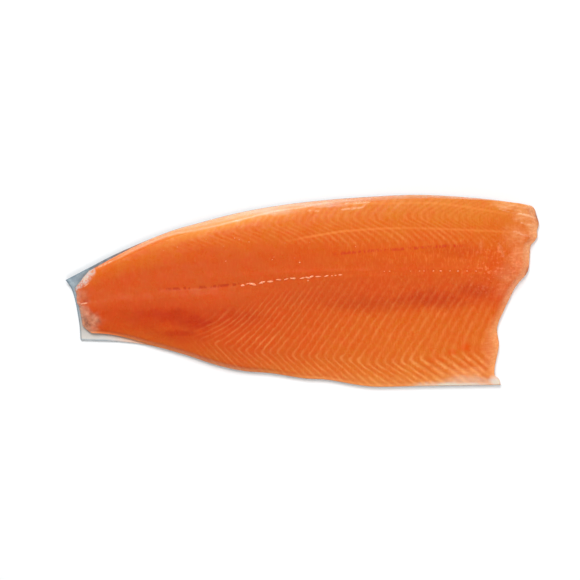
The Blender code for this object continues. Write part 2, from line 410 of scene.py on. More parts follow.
def septum_lead(share, base, low_sweep, high_sweep):
    """How far towards the collar a septum leads its own turn at the belly fold."""
    _, width = cross_section(base)
    fold = between(BELLY_FOLD, base)
    past_turns = [soft_ramp(share - fold, FOLD_TURN)]
    past_turns += [soft_ramp(share - turn) for turn in (FLANK_BEND, MIDLINE, SHOULDER, SEAM, CREST)]
    sweeps = (
        between(low_sweep, base), between(high_sweep, base), SHOULDER_SWEEP, BACK_SWEEP,
        between(SEAM_SWEEP, base), between(TOP_SWEEP, base),
    )
    lead = between(FLAP_SWEEP, base) * soft_ramp(fold - share, FOLD_TURN)
    for sweep, past, past_next in zip(sweeps, past_turns, [*past_turns[1:], 0]):
        lead += sweep * (past - past_next)
    return width * lead


def number_of(base, spacing):
    """A septum's number, from where it turns at the fold, with the gaps added up."""
    line = np.arange(-400.0, 401.0)
    passed = np.cumsum(1 / between(spacing, line))
    place, number = FOLD_SEPTUM
    return np.interp(base, line, passed) - np.interp(place, line, passed) + number


def septum_count(x, share, rounds=24):
    """How many septa lie between the tail and this point, as a running number."""
    counts = []
    for low_sweep, high_sweep, spacings in (
        (LOW_FLANK_SWEEP, HIGH_FLANK_SWEEP, (FLAP_SPACING, FLANK_SPACING)),
        (LOIN_FLANK_SWEEP, LOIN_FLANK_SWEEP, (LOIN_SPACING,)),
    ):
        base = x.copy()
        for _ in range(rounds):
            base = (base + x - septum_lead(share, base, low_sweep, high_sweep)) / 2
        counts += [number_of(base, spacing) for spacing in spacings]
    flap_count, flank_count, loin_count = counts
    below_loin = flap_count + (flank_count - flap_count) * smooth_step(*FLAP_JOIN, share)
    return below_loin + (loin_count - below_loin) * smooth_step(*LOIN_JOIN, share)


septa = np.ptp(number_of(np.array([TAIL[0, 0], COLLAR[0, 0]]), FLANK_SPACING))
print("septa from tail to collar, along the belly edge", round(float(septa)))

# %% [markdown]
# ## Lines and patches
#
# A side carries marks that have nothing to do with the flakes. The pin bones leave a dotted line
# of fat along the middle, the blood line darkens the flesh beside it, and the belly's lining
# leaves a white film near the collar. Each line is a path along the side, each patch is a soft
# ellipse whose rim is broken up by noise, and each stroke is a thin line that swells in its
# middle. Every one is a row of a few numbers, so it can be moved about freely.

# %% Lines and patches
LINES = {
    "pin_bones": [
        (-240, 0), (-132.8, 2), (-58.8, 7), (-2.8, 12), (38.7, 17), (121.2, 19.7), (162.2, 20.2),
        (240, 19),
    ],
    "upper_vein": [(-240, 8), (-60, 26), (35, 37), (107, 42), (147, 44.5), (240, 46)],
    "loin_seam": [
        (-240, 20), (-60, 38), (-11.8, 50), (27.2, 57), (47.2, 59.5), (107.2, 62), (240, 57),
    ],
    "top_seam": [(-240, 60), (0, 78), (42, 85), (97, 86.5), (137, 86), (198, 77), (240, 70)],
}

# Patches: centre X and Y, half length, half width, strength
PATCHES = {
    "red": [
        (-135, -25, 38, 9, 0.5), (-108, -31, 22, 11, 0.6), (-122, -42, 26, 4, 0.5),
        (-118, -43, 36, 9, 0.25), (-78, -26, 44, 12, 0.22), (-156, -30, 30, 10, 0.3),
        (-90, 40, 34, 6, 0.1), (-216, -10, 4, 2, 0.6), (70, -14, 46, 10, 0.25),
        (128, -9, 44, 11, 0.4), (168, 0, 24, 9, 0.35), (150, 40, 34, 9, 0.2), (90, 24, 60, 8, 0.1),
        (205, 20, 12, 8, 0.15),
    ],
    "deep_orange": [
        (148.5, -61, 5, 3.4, 1), (161.5, -56.5, 6.5, 4.2, 1), (134, -68.5, 15, 3, 0.45),
        (170, -74, 20, 8, 0.35),
    ],
    "brown": [
        (-224, -30, 14, 14, 1), (-214, -31, 14, 13, 1), (-222, -22, 12, 10, 0.9),
        # The last brown patch, at the collar's corner, is painted shade on the cut rim there, not a
        # stain.
        (-219, -4, 10, 11, 0.4), (232, 76, 6, 13, 0.3),
    ],
    # The collar patches are partly painted light: paler pink flesh, standing in for light shining through
    # the thin flesh at the collar.
    "collar": [
        (222, 78, 16, 13, 0.5), (228, 62, 10, 14, 0.5), (205, 86, 24, 6, 0.55),
        (214, 55, 16, 14, 0.35), (216, 36, 14, 22, 0.4), (206, 16, 14, 12, 0.3),
        (202, 0, 12, 13, 0.2), (189, -58, 9, 28, 0.35), (165, -82, 30, 8, 0.35),
        (176, 46, 2, 6, 0.15),
    ],
    "film": [
        (154, -95.5, 50, 5.5, 1), (168, -92, 36, 8.5, 0.36), (193, -90, 9, 6.5, 0.95),
        (118, -96, 14, 2.4, 0.8), (-32, 78.5, 30, 4, 0.3), (20, 85, 26, 3, 0.3),
    ],
    "rim_shade": [(238, 77, 7, 13, 1), (229, 80, 10, 6, 0.2), (230, 17, 8, 10, 1)],
    "mottled": [(196, 24, 40, 30, 1), (182, 4, 26, 12, 0.7)],
    "upright": [(160, 34, 70, 15, 1), (90, 32, 60, 10, 0.4)],
    "crumbs": [(-60, 42, 90, 14, 0.5)],
}
SMOOTHER = {"film": 0.6, "rim_shade": 0.4}  # the rims of these are less ragged
BRIGHT_LINES = [(168, -74, 30, 14, 0.6), (-36, -49, 24, 8, 1), (110, -3, 36, 5, 0.6)]

# Strokes: X and Y of both ends, half width, strength
# Most strokes are streaks of white fat, but the four on the ridge near the middle (from X 5 to 66) and
# the two at the tail's corner from X -220 and -218 are painted glints.
WHITE_STROKES = [
    (213.5, 77.4, 226, 74.9, 0.6, 0.55), (222, 75.4, 233, 72.9, 0.6, 0.45),
    (216, 67.6, 230, 65, 0.6, 0.5), (209, 59, 217, 57.5, 0.7, 0.25), (216, 56, 227, 54.5, 0.7, 0.35),
    (192, 84, 217, 79, 0.4, 0.22), (194, 81, 216, 75.5, 0.4, 0.2), (197, 87, 224, 82, 0.4, 0.2),
    (202, 72, 219, 71, 0.4, 0.15), (194, 48, 199, 34, 1.5, 0.1), (38, 80, 60, 82.5, 0.8, 0.4),
    (41, 86, 66, 87.5, 0.9, 0.5), (5, 79, 8, 79.4, 1.0, 0.3), (12, 78.6, 16, 79, 0.9, 0.3),
    (-226, -10, -221, -13, 0.5, 0.5), (-221, -13, -215, -12, 0.6, 0.6), (-220, 10, -214, 14, 0.9, 0.8),
    (-218, 4, -213, 8, 0.7, 0.5), (-206, 23, -190, 30, 0.8, 0.4),
]
# The loose white tissue between the bare skin of the tail's corner and the flesh
TISSUE_STROKES = [(-225.5, 3, -209, 22, 4.2, 0.95)]


def beside(x, y, line):
    """How far a point lies above a line that runs along the side, in millimetres."""
    return y - level(line, x)


def patches(x, y, ragged, rows):
    """The strongest of these patches at each point, with ragged rims."""
    strongest = np.zeros(len(x))
    for centre_x, centre_y, half_length, half_width, strength in rows:
        away = np.hypot((x - centre_x) / half_length, (y - centre_y) / half_width)
        strongest = np.maximum(strongest, strength * (1 - smooth_step(0.25, 1.25, away + ragged)))
    return strongest


def strokes(x, y, ragged, rows):
    """The strongest of these strokes at each point: thin soft lines that waver a little."""
    strongest = np.zeros(len(x))
    for start_x, start_y, end_x, end_y, half_width, strength in rows:
        run_x, run_y = end_x - start_x, end_y - start_y
        share = ((x - start_x) * run_x + (y - start_y) * run_y) / (run_x**2 + run_y**2)
        share = np.clip(share, 0, 1)
        away = np.hypot(x - start_x - share * run_x, y - start_y - share * run_y)
        slim = half_width * (0.4 + 0.6 * np.sin(np.pi * share) ** 0.5)
        drawn = strength * (1 - smooth_step(0.4, 1.8, (away + ragged) / slim))
        strongest = np.maximum(strongest, drawn)
    return strongest


print("patches", {name: len(rows) for name, rows in PATCHES.items()})

# %% [markdown]
# ## Two faces and a wall
#
# Both pieces are slabs: a wide upper face, a lower face and a low wall between them. Two grids
# and a bridge between their rims make such a slab with no gaps. The lower face of the flesh is
# hidden and nearly flat, so its grid is four times coarser, and the bridge takes up the
# difference.

# %% Slab
def slab(columns, rows, thinner):
    """A closed slab, from 0 to 1 in X and Y, with its two faces at Z 0 and 1."""
    mesh = bmesh.new()
    for divisor, height in ((1, 1), (thinner, 0)):
        bmesh.ops.create_grid(
            mesh, x_segments=columns // divisor, y_segments=rows // divisor, size=0.5,
            matrix=Matrix.Translation((0.5, 0.5, height)),
        )
    bmesh.ops.bridge_loops(mesh, edges=[edge for edge in mesh.edges if edge.is_boundary])
    return mesh


ROW_CROWDING = 0.35


def slab_shares(mesh):
    """Shares u and v of each vertex of a slab, and whether it is in the upper face."""
    places = np.array([vertex.co for vertex in mesh.verts])
    eased = (1 - np.cos(np.pi * places[:, 1])) / 2
    v = (1 - ROW_CROWDING) * places[:, 1] + ROW_CROWDING * eased
    return places[:, 0], v, places[:, 2] > 0.5


def finish_piece(name, mesh, points, marks, flake_map, material):
    """Moves the slab's vertices to their points and makes the object, with its marks."""
    points = np.clip(points, *(np.array(cad_box) / MM))
    for vertex, point in zip(mesh.verts, points):
        vertex.co = point * MM
    bmesh.ops.recalc_face_normals(mesh, faces=mesh.faces)
    data = bpy.data.meshes.new(name)
    mesh.to_mesh(data)
    mesh.free()
    for mark, values in marks.items():
        data.attributes.new(mark, "FLOAT", "POINT").data.foreach_set("value", values)
    corners = np.empty(len(data.loops), dtype=int)
    data.loops.foreach_get("vertex_index", corners)
    data.uv_layers.new(name="flakes").data.foreach_set("uv", flake_map[corners].ravel())
    data.materials.append(material)
    data.shade_smooth()
    piece = bpy.data.objects.new(name, data)
    bpy.context.scene.collection.objects.link(piece)
    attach(piece, "root")
    print(name, len(data.vertices), "vertices,", len(data.polygons), "faces")
    return piece


# %% [markdown]
# ## Small tools for the materials
#
# A material is a tree of nodes. Writing each node out takes four lines, so a few helpers add one
# node each: any node with its inputs, a sum, a colour ramp, a mix and a soft threshold. Colour is
# built up in layers, as a painter would, and one helper lays a whole list of them. Colours are
# given as they look on a screen, from 0 to 255, and turned into the linear values that the
# renderer counts with.

# %% Node helpers
def linear(*screen):
    """A colour as the renderer counts it, from the three numbers that a screen shows."""
    shares = np.array(screen) / 255
    return (*np.where(shares > 0.04, ((shares + 0.055) / 1.055) ** 2.4, shares / 12.92).tolist(), 1)


def add(tree, kind, inputs=None, **settings):
    """A node of this kind. An input is another node's output, or a plain value."""
    made = tree.nodes.new(kind)
    for name, value in settings.items():
        setattr(made, name, value)
    for name, value in (inputs or {}).items():
        if isinstance(value, bpy.types.NodeSocket):
            tree.links.new(value, made.inputs[name])
        else:
            made.inputs[name].default_value = value
    return made


def calc(tree, operation, *values, clamp=False):
    made = add(tree, "ShaderNodeMath", dict(enumerate(values)), operation=operation, use_clamp=clamp)
    return made.outputs[0]


def product(tree, *factors):
    total = factors[0]
    for factor in factors[1:]:
        total = calc(tree, "MULTIPLY", total, factor)
    return total


def threshold(tree, value, low, high, to_low=0.0, to_high=1.0):
    """to_low below low, to_high above high, and a smooth step between."""
    made = add(
        tree, "ShaderNodeMapRange",
        {"Value": value, "From Min": low, "From Max": high, "To Min": to_low, "To Max": to_high},
        interpolation_type="SMOOTHSTEP",
    )
    return made.outputs["Result"]


def blend(tree, share, below, above):
    """below where the share is 0, and above, laid over it, where the share is 1."""
    return add(tree, "ShaderNodeMix", {0: share, 6: below, 7: above}, data_type="RGBA").outputs[2]


def lay_over(tree, colour, layers):
    """Lays each layer's colour over what lies below it, as strongly as its share says."""
    for share, above in layers:
        above = above if isinstance(above, bpy.types.NodeSocket) else linear(*above)
        colour = blend(tree, share, colour, above)
    return colour


def ramp(tree, value, stops):
    """Colours at these places between 0 and 1, with an even change from each to the next."""
    made = add(tree, "ShaderNodeValToRGB", {"Fac": value})
    bands = made.color_ramp.elements
    while len(bands) < len(stops):
        bands.new(0.5)
    for band, (place, colour) in zip(bands, stops):
        band.position = place
        band.color = colour if len(colour) == 4 else linear(*colour)
    return made.outputs["Color"]


def mark(tree, name):
    return add(tree, "ShaderNodeAttribute", attribute_name=name).outputs["Fac"]


def speckle(tree, place, size, stretch=(1, 1, 1), detail=2.0, distortion=0.0):
    """Noise from 0 to 1 whose lumps have this size in millimetres, stretched along each axis."""
    scale = tuple(1 / (MM * size * factor) for factor in stretch)
    scaled = add(tree, "ShaderNodeMapping", {"Vector": place, "Scale": scale}, vector_type="POINT")
    made = add(
        tree, "ShaderNodeTexNoise",
        {"Vector": scaled.outputs["Vector"], "Scale": 1.0, "Detail": detail, "Distortion": distortion},
    )
    return made.outputs["Fac"]


def new_material(name, settings):
    """A material with these values on its shader, and the place of a point on the piece."""
    material = bpy.data.materials.new(name)
    material.use_nodes = True
    tree = material.node_tree
    shader = tree.nodes["Principled BSDF"]
    for socket, value in settings.items():
        shader.inputs[socket].default_value = value
    return material, tree, shader, add(tree, "ShaderNodeTexCoord").outputs["Object"]


def flake_places(tree):
    """The running number of septa and the share across the side, from the piece's own map."""
    flakes = add(tree, "ShaderNodeUVMap", uv_map="flakes").outputs["UV"]
    parts = add(tree, "ShaderNodeSeparateXYZ", {"Vector": flakes})
    return parts.outputs["X"], parts.outputs["Y"]


def add_bump(tree, shader, height, depth, strength):
    """Tilts the light on the surface as if it stood this many millimetres higher where height is 1."""
    bump = add(tree, "ShaderNodeBump", {"Height": height, "Distance": depth * MM, "Strength": strength})
    tree.links.new(bump.outputs["Normal"], shader.inputs["Normal"])


print("mid grey counts as", round(linear(128, 128, 128)[0], 3))

# %% [markdown]
# ## Wet film
#
# Both the flesh and the skin are moist. The film of water is even over broad patches and breaks
# up into a fine grain between them, which gives a soft sheen with a few sharp glints. Two
# materials need it, so it is a node group: one roughness, and one small height for the grain.

# %% Wet film group
FILM_INPUTS = {"Wet Roughness": 0.25, "Dry Roughness": 0.5, "Patch Size": 9.0}


def make_wet_film():
    group = bpy.data.node_groups.new("wet_film", "ShaderNodeTree")
    for name, value in FILM_INPUTS.items():
        socket = group.interface.new_socket(name, in_out="INPUT", socket_type="NodeSocketFloat")
        socket.default_value = value
    for name in ("Roughness", "Height"):
        group.interface.new_socket(name, in_out="OUTPUT", socket_type="NodeSocketFloat")
    given, outputs = group.nodes.new("NodeGroupInput").outputs, group.nodes.new("NodeGroupOutput")
    place = add(group, "ShaderNodeTexCoord").outputs["Object"]
    per_metre = calc(group, "DIVIDE", 1 / MM, given["Patch Size"])
    broad = add(group, "ShaderNodeTexNoise", {"Vector": place, "Scale": per_metre, "Detail": 3.0})
    dryness = threshold(group, broad.outputs["Fac"], 0.38, 0.62, 1.0, 0.0)
    span = calc(group, "SUBTRACT", given["Dry Roughness"], given["Wet Roughness"])
    rough = calc(group, "MULTIPLY_ADD", dryness, span, given["Wet Roughness"])
    grain = calc(group, "MULTIPLY", speckle(group, place, 1.6, detail=3.0), 0.35)
    height = calc(group, "MULTIPLY_ADD", speckle(group, place, 6), 0.8, grain)
    group.links.new(rough, outputs.inputs["Roughness"])
    group.links.new(height, outputs.inputs["Height"])
    return group


WET_FILM = make_wet_film()


def wet_film(tree, shader, *values):
    """Lays the film on a shader: wet and dry roughness, and the patches' size. Returns its height."""
    made = add(tree, "ShaderNodeGroup")
    made.node_tree = WET_FILM
    for name, value in zip(FILM_INPUTS, values):
        made.inputs[name].default_value = value
    tree.links.new(made.outputs["Roughness"], shader.inputs["Roughness"])
    return made.outputs["Height"]


print("wet film outputs", [item.name for item in WET_FILM.interface.items_tree])

# %% [markdown]
# ## Flesh colour
#
# Raw salmon is orange because of what the fish eats, and the shade changes across the side: pale
# and yellowish at the belly, redder along the middle, orange again in the loin. Two colour ramps
# read the share across the side, one for the body and one for the tail. Everything else lies over
# them as layers: blood, dried brown spots at the tail, the fat lines, pale rims and bands, the
# belly's film, veins, seams and bits of white fat. Some layers are painted light: the pale rims
# and the pale collar stand in for light shining through thin flesh, the band along the back is
# paler where its slope faces the main lamp, a few white strokes are painted glints, and dark
# patches at the collar's corner are painted shade. Most layers read a mark that each vertex
# carries. The shader scatters light under the surface, which softens every line as it does in the
# fish.

# %% Flesh material
BODY_COLOURS = [
    (0.0, (216, 138, 68)), (0.07, (216, 116, 36)), (0.2, (210, 104, 26)), (0.36, (208, 99, 22)),
    (0.47, (207, 79, 18)), (0.62, (208, 90, 24)), (0.74, (210, 95, 20)), (0.86, (209, 110, 24)),
    (1.0, (212, 128, 46)),
]
TAIL_COLOURS = [
    (0.0, (206, 98, 28)), (0.15, (202, 81, 20)), (0.34, (194, 70, 18)), (0.5, (200, 87, 31)),
    (0.7, (200, 84, 26)), (0.86, (211, 105, 22)), (0.95, (226, 122, 40)), (1.0, (246, 176, 128)),
]
BROWN_COLOURS = [
    (0.3, (150, 90, 66)), (0.48, (190, 118, 88)), (0.62, (206, 138, 106)), (0.75, (222, 158, 128)),
]
# The whitest colour serves both the white fat and the painted glints on the ridge and at the tail.
FAT, WHITE_FAT_AND_GLINT, SEAM_FAT = (252, 178, 104), (255, 214, 176), (252, 160, 84)
LINE_SHARPNESS = [(0.0, 0.1), (0.12, 0.2), (0.2, 0.3), (0.5, 0.28), (0.66, 0.15), (0.8, 0.08)]
LINE_WAVER = 0.28  # of the gap between two lines, to either side
CRUMB_ROOM = 7
FLESH_SHINE = {
    "Subsurface Weight": 0.3, "Subsurface Radius": (1.0, 0.35, 0.15),
    "Subsurface Scale": 2.5 * MM, "Specular IOR Level": 0.2,
}


def flake_lines(tree, place, count, share):
    """How strongly the fat shows at each point: sharp at the belly, soft in the loin."""
    uneven = speckle(tree, place, 8, detail=4.0)
    wavy = calc(tree, "ADD", count, calc(tree, "MULTIPLY_ADD", uneven, 2 * LINE_WAVER, -LINE_WAVER))
    wave = calc(tree, "COSINE", calc(tree, "MULTIPLY", wavy, math.tau))
    wave = calc(tree, "MULTIPLY_ADD", wave, 0.5, 0.5)
    sharp = ramp(tree, share, [(stop, (value, value, value, 1)) for stop, value in LINE_SHARPNESS])
    sharp = product(tree, sharp, calc(tree, "SUBTRACT", 1.0, mark(tree, "soft_lines")))
    line = calc(tree, "POWER", wave, calc(tree, "MULTIPLY_ADD", sharp, 10.0, 0.7))
    own = add(tree, "ShaderNodeTexWhiteNoise", {"W": calc(tree, "ROUND", wavy)}, noise_dimensions="1D")
    own_strength = calc(tree, "MULTIPLY_ADD", own.outputs["Value"], 0.4, 0.7)
    broken = threshold(tree, uneven, 0.34, 0.64, 0.4, 1.0)
    return product(tree, line, broken, own_strength, mark(tree, "fat_lines"))


def dashes(tree, place, line, half_width, length, fullness):
    """Short marks in a row along a line: where the line is near and the noise is high."""
    shake = calc(tree, "MULTIPLY_ADD", speckle(tree, place, 3), 1.6, -0.8)
    away = calc(tree, "ABSOLUTE", calc(tree, "ADD", mark(tree, f"beside_{line}"), shake))
    near = threshold(tree, away, half_width * 0.5, half_width * 1.4, 1.0, 0.0)
    beads = speckle(tree, place, length, stretch=(1, 4, 4))
    return product(tree, near, threshold(tree, beads, fullness, fullness + 0.06))


def seam(tree, name):
    """A thin soft line along this seam, as strong as its mark."""
    away = calc(tree, "ABSOLUTE", mark(tree, f"beside_{name}"))
    return product(tree, threshold(tree, away, 0.3, 1.9, 1.0, 0.0), mark(tree, name))


def meat_colour(tree, place, share):
    """The orange of the muscle alone, with its blotches, grain and fibres."""
    tailwards, mottled = mark(tree, "towards_tail"), mark(tree, "mottled")
    blotches = threshold(tree, speckle(tree, place, 16, detail=4.0, distortion=0.4), 0.32, 0.68)
    grain = threshold(tree, speckle(tree, place, 2.6, detail=3.0), 0.35, 0.65)
    fibres = speckle(tree, place, 1.5, stretch=(0.9, 4.5, 1), detail=3.0)
    fibrous = calc(tree, "MULTIPLY_ADD", tailwards, -0.08, 0.14)
    fibrous = calc(tree, "MULTIPLY_ADD", mark(tree, "upright"), 0.14, fibrous)
    gaps = threshold(tree, speckle(tree, place, 3.2), 0.36, 0.5, 1.0, 0.0)
    specks = threshold(tree, speckle(tree, place, 3.0), 0.54, 0.68)
    return lay_over(tree, ramp(tree, share, BODY_COLOURS), [
        (tailwards, ramp(tree, share, TAIL_COLOURS)),
        (product(tree, blotches, 0.28), (214, 66, 14)),
        (product(tree, grain, 0.16), (206, 60, 16)),
        (product(tree, threshold(tree, fibres, 0.45, 0.75), fibrous), (255, 158, 84)),
        (product(tree, gaps, mottled, 0.16), (200, 60, 20)),
        (product(tree, specks, mottled, 0.34), (252, 150, 100)),
    ])


def flesh_colour(tree, place, share, lines):
    """The muscle with every layer that lies over it."""
    streaks = threshold(tree, speckle(tree, place, 2.0, stretch=(8, 1, 1), detail=3.0), 0.42, 0.7)
    broken_up = threshold(tree, speckle(tree, place, 2.2, detail=4.0), 0.36, 0.56, 0.25, 1.0)
    crumbs = add(tree, "ShaderNodeTexVoronoi", {"Vector": place, "Scale": 1 / (CRUMB_ROOM * MM)})
    crumb = threshold(tree, crumbs.outputs["Distance"], 0.03, 0.11, 1.0, 0.0)
    vein = dashes(tree, place, "pin_bones", 1.4, 2.8, 0.47)
    upper_vein = dashes(tree, place, "upper_vein", 1.4, 2.0, 0.48)

    def streaky(name, depth, least):
        """A mark that is weaker between the streaks."""
        strength = calc(tree, "MULTIPLY_ADD", streaks, depth, least, clamp=True)
        return product(tree, mark(tree, name), strength)

    return lay_over(tree, meat_colour(tree, place, share), [
        (mark(tree, "amber"), (228, 146, 44)),
        (streaky("red", 0.25, 0.85), (172, 28, 8)),
        (mark(tree, "deep_orange"), (214, 80, 2)),
        (mark(tree, "brown"), ramp(tree, speckle(tree, place, 5, detail=4.0), BROWN_COLOURS)),
        (lines, FAT),
        # painted light: paler thin edges, standing in for light shining through the thin flesh
        (streaky("rim", 0.4, 0.6), (250, 168, 104)),
        # partly painted light: paler where the back's slope faces the main lamp, with a painted highlight
        # on the ridge
        (streaky("side_band", 0.35, 0.65), (250, 204, 168)),
        # partly painted light: the collar paler, standing in for light shining through its thin flesh
        (streaky("collar", 0.5, 0.5), (250, 186, 132)),
        (mark(tree, "film"), (220, 206, 190)),
        (product(tree, mark(tree, "rim_shade"), 0.65), (122, 72, 64)),
        (product(tree, vein, mark(tree, "vein"), 0.5), (168, 26, 10)),
        (product(tree, upper_vein, mark(tree, "upper_vein"), 0.55), (196, 40, 30)),
        (seam(tree, "loin_seam"), SEAM_FAT),
        (seam(tree, "top_seam"), SEAM_FAT),
        (product(tree, crumb, mark(tree, "crumbs")), WHITE_FAT_AND_GLINT),
        # white fat streaks, together with the painted glints on the ridge and at the tail
        (product(tree, broken_up, mark(tree, "white")), WHITE_FAT_AND_GLINT),
        (product(tree, broken_up, mark(tree, "tissue")), (212, 192, 182)),
    ])


def make_flesh_material():
    material, tree, shader, place = new_material("raw_salmon_flesh", FLESH_SHINE)
    count, share = flake_places(tree)
    lines = flake_lines(tree, place, count, share)
    tree.links.new(flesh_colour(tree, place, share, lines), shader.inputs["Base Color"])
    film_height = wet_film(tree, shader, 0.26, 0.44, 9.0)
    height = calc(tree, "MULTIPLY_ADD", film_height, 0.6, product(tree, lines, 0.4))
    add_bump(tree, shader, height, 0.4, 0.6)
    return material


FLESH_MATERIAL = make_flesh_material()
print(FLESH_MATERIAL.name, len(FLESH_MATERIAL.node_tree.nodes), "nodes")

# %% [markdown]
# ## The flesh
#
# The flesh has the form of the CAD solid, finely divided, so that it can carry what the solid
# leaves out: fine grooves along the fat lines, the dent along the pin bones, the ragged end at
# the tail and the slight lumps of soft muscle. The relief fades out towards the rims, so that
# they stay clean. What the material has to know about a point, such as how near the collar it
# lies, is worked out here too and kept as named marks, one value for each vertex.

# %% Flesh piece
FLESH_COLUMNS, FLESH_ROWS, FLESH_THINNER = 440, 176, 4
RAGGED = [(9, 1, 0.35), (3.5, 2, 0.2)]  # size, seed and height of each layer of noise
LUMPS = [(24, 3, 0.35), (9, 4, 0.2), (3.5, 5, 0.09)]
FLAKE_RELIEF, TISSUE_RELIEF = 0.35, 0.35
PIN_BONE_DENT, SEAM_DENT, DENT_WIDTH = 0.3, 0.5, 2.0

# Where along the side, and how strongly, the fat lines show
FLANK_LINES = [(-240, 0.23), (-60, 0.235), (-20, 0.205), (30, 0.185), (90, 0.18), (240, 0.17)]
FLANK_LINES_END = [(-200, 0.25), (-63, 0.42), (-30, 0.5), (0, 0.55), (45, 0.6), (240, 0.61)]
FLAP_LINES = [
    (-240, 0.19), (-60, 0.19), (0, 0.26), (60, 0.35), (100, 0.52), (130, 0.57), (160, 0.47),
    (240, 0.4),
]
LOIN_LINES_START = [(-150, 0.8), (-68, 0.775), (-13, 0.74), (47, 0.7), (240, 0.7)]
LOIN_LINES = [
    (-150, 0), (-90, 0.13), (-20, 0.14), (60, 0.15), (150, 0.15), (190, 0.08), (240, 0.05),
]
SEAM_LINES = 0.07  # more in the loin just below its seam

# The pale band along the back edge: its width and strength, and the amber flesh inside it
# The band is partly pale fat and partly painted light: its strength along the side follows where the
# back's slope faces the main lamp, and its bright inner line is a painted highlight on the ridge.
SIDE_BAND = [
    (-240, 3), (-150, 3), (-128, 3.6), (-110, 5.8), (-78, 7.6), (-55, 7.3), (-38, 6.2), (-20, 5.4),
    (0, 5.6), (40, 3), (240, 3),
]
SIDE_BAND_STRENGTH = [
    (-205, 0), (-170, 0.6), (-98, 0.62), (-83, 0.7), (-60, 0.92), (-35, 1), (-15, 0.9), (5, 0.75),
    (40, 0.65), (70, 0),
]
AMBER_BAND = [(-150, 0), (-120, 0.5), (-60, 0.75), (-35, 0.6), (-15, 0.35), (10, 0.2), (30, 0)]


def fades(start, end, value):
    """1 up to the start, 0 from the end on."""
    return 1 - smooth_step(start, end, value)


def stretch(x, start, full, fading, end):
    """1 between full and fading, and 0 before the start and past the end."""
    return smooth_step(start, full, x) * fades(fading, end, x)


def line_strength(x, y, share, ragged, from_collar, from_back):
    """How strongly the fat lines show: best at the belly, faint along the middle and at the tail."""
    past_tail = smooth_step(-114, -62, x + 60 * (0.3 - share))
    top = level(FLANK_LINES_END, x)
    flank = past_tail * between(FLANK_LINES, x) * fades(top - 0.08, top + 0.02, share)
    flank *= 1 - 0.55 * smooth_step(-30, 30, x) * smooth_step(0.36, 0.56, share)
    flap = past_tail * between(FLAP_LINES, x)
    belly_side = flap + (flank - flap) * smooth_step(0.12, 0.19, share)
    loin = between(LOIN_LINES, x)
    loin += SEAM_LINES * np.exp(-(((share - 0.77) / 0.04) ** 2)) * fades(140, 185, x)
    loin *= 1 - smooth_step(60, 140, x) * fades(3, 10, from_back)
    start = between(LOIN_LINES_START, x)
    lines = belly_side + loin * smooth_step(start, start + 0.07, share)
    lines *= 0.3 + 0.7 * smooth_step(3, 20, from_collar)
    return np.minimum(lines * (1 + 0.8 * patches(x, y, ragged, BRIGHT_LINES)), 1)


def side_band(x, from_back):
    """The pale band along the back edge, partly painted light: a soft outer part, an orange line,
    and a bright inner line that is a painted highlight along the ridge.
    """
    inside = from_back - level(SIDE_BAND, x)
    parts = [0.75 * fades(-3.4, -2, inside), np.exp(-((inside / 1.1) ** 2)), 0.4 * fades(-0.5, 2, inside)]
    return between(SIDE_BAND_STRENGTH, x) * np.maximum.reduce(parts)


def flesh_marks(x, y, share, u, v):
    """What the material needs to know at each vertex, as named values."""
    length, width = spans(u, v)
    ragged = lumpy(x, y, RAGGED)
    from_collar, from_tail = (1 - u) * length, u * length
    from_back, from_belly = (1 - v) * width, v * width
    # Painted light: the thin cut edges are painted paler, standing in for light shining through thin
    # flesh, which also lifts the collar's slope that turns away from the lamps.
    rim = np.maximum.reduce([
        0.9 * fades(0.5, 10, from_collar + 3 * ragged),
        0.45 * fades(0.5, 4, from_belly),
        0.4 * fades(0.5, 4.5, from_back) * smooth_step(30, 70, x),
        0.3 * fades(1, 5, from_tail),
    ])
    tissue = strokes(x, y, 5 * ragged, TISSUE_STROKES)
    marks = {name: patches(x, y, SMOOTHER.get(name, 1) * ragged, rows) for name, rows in PATCHES.items()}
    marks |= {f"beside_{name}": beside(x, y, line) for name, line in LINES.items()}
    marks["collar"] *= 1 - marks["rim_shade"]
    return marks | {
        "rim": rim * (1 - marks["rim_shade"]),
        "towards_tail": fades(-90, 110, x),
        "fat_lines": line_strength(x, y, share, ragged, from_collar, from_back),
        "soft_lines": 0.6 * smooth_step(70, 150, x),
        # streaks of white fat, together with painted glints on the ridge and at the tail
        "white": strokes(x, y, ragged, WHITE_STROKES),
        "tissue": np.maximum(0.14 * fades(2, 8, from_tail + 4 * ragged), tissue),
        "side_band": side_band(x, from_back + 0.6 * ragged),
        "amber": between(AMBER_BAND, x) * fades(8, 17, from_back),
        "vein": stretch(x, -150, -125, -66, -58),
        "upper_vein": stretch(x, 25, 40, 150, 165),
        "loin_seam": (0.3 - 0.12 * smooth_step(30, 90, x)) * stretch(x, -30, 20, 190, 220),
        "top_seam": 0.18 * stretch(x, 20, 50, 190, 220),
    }


def dent(away, depth):
    """A soft furrow of this depth where the distance from its middle is small."""
    return -depth * np.exp(-((away / DENT_WIDTH) ** 2))


def flesh_relief(x, y, marks, count, inside):
    """Grooves, dents and lumps of the upper face, in millimetres."""
    grooves = -FLAKE_RELIEF * marks["fat_lines"] * np.cos(math.tau * count)
    pin_bones = dent(marks["beside_pin_bones"], PIN_BONE_DENT) * smooth_step(-170, -110, x)
    loin_seam = dent(marks["beside_loin_seam"], SEAM_DENT) * marks["loin_seam"]
    # The white strokes hold the painted glints too, and they rise a little like the fat.
    tissue = TISSUE_RELIEF * np.maximum(marks["white"], marks["tissue"])
    return inside * (grooves + pin_bones + loin_seam + tissue + lumpy(x, y, LUMPS))


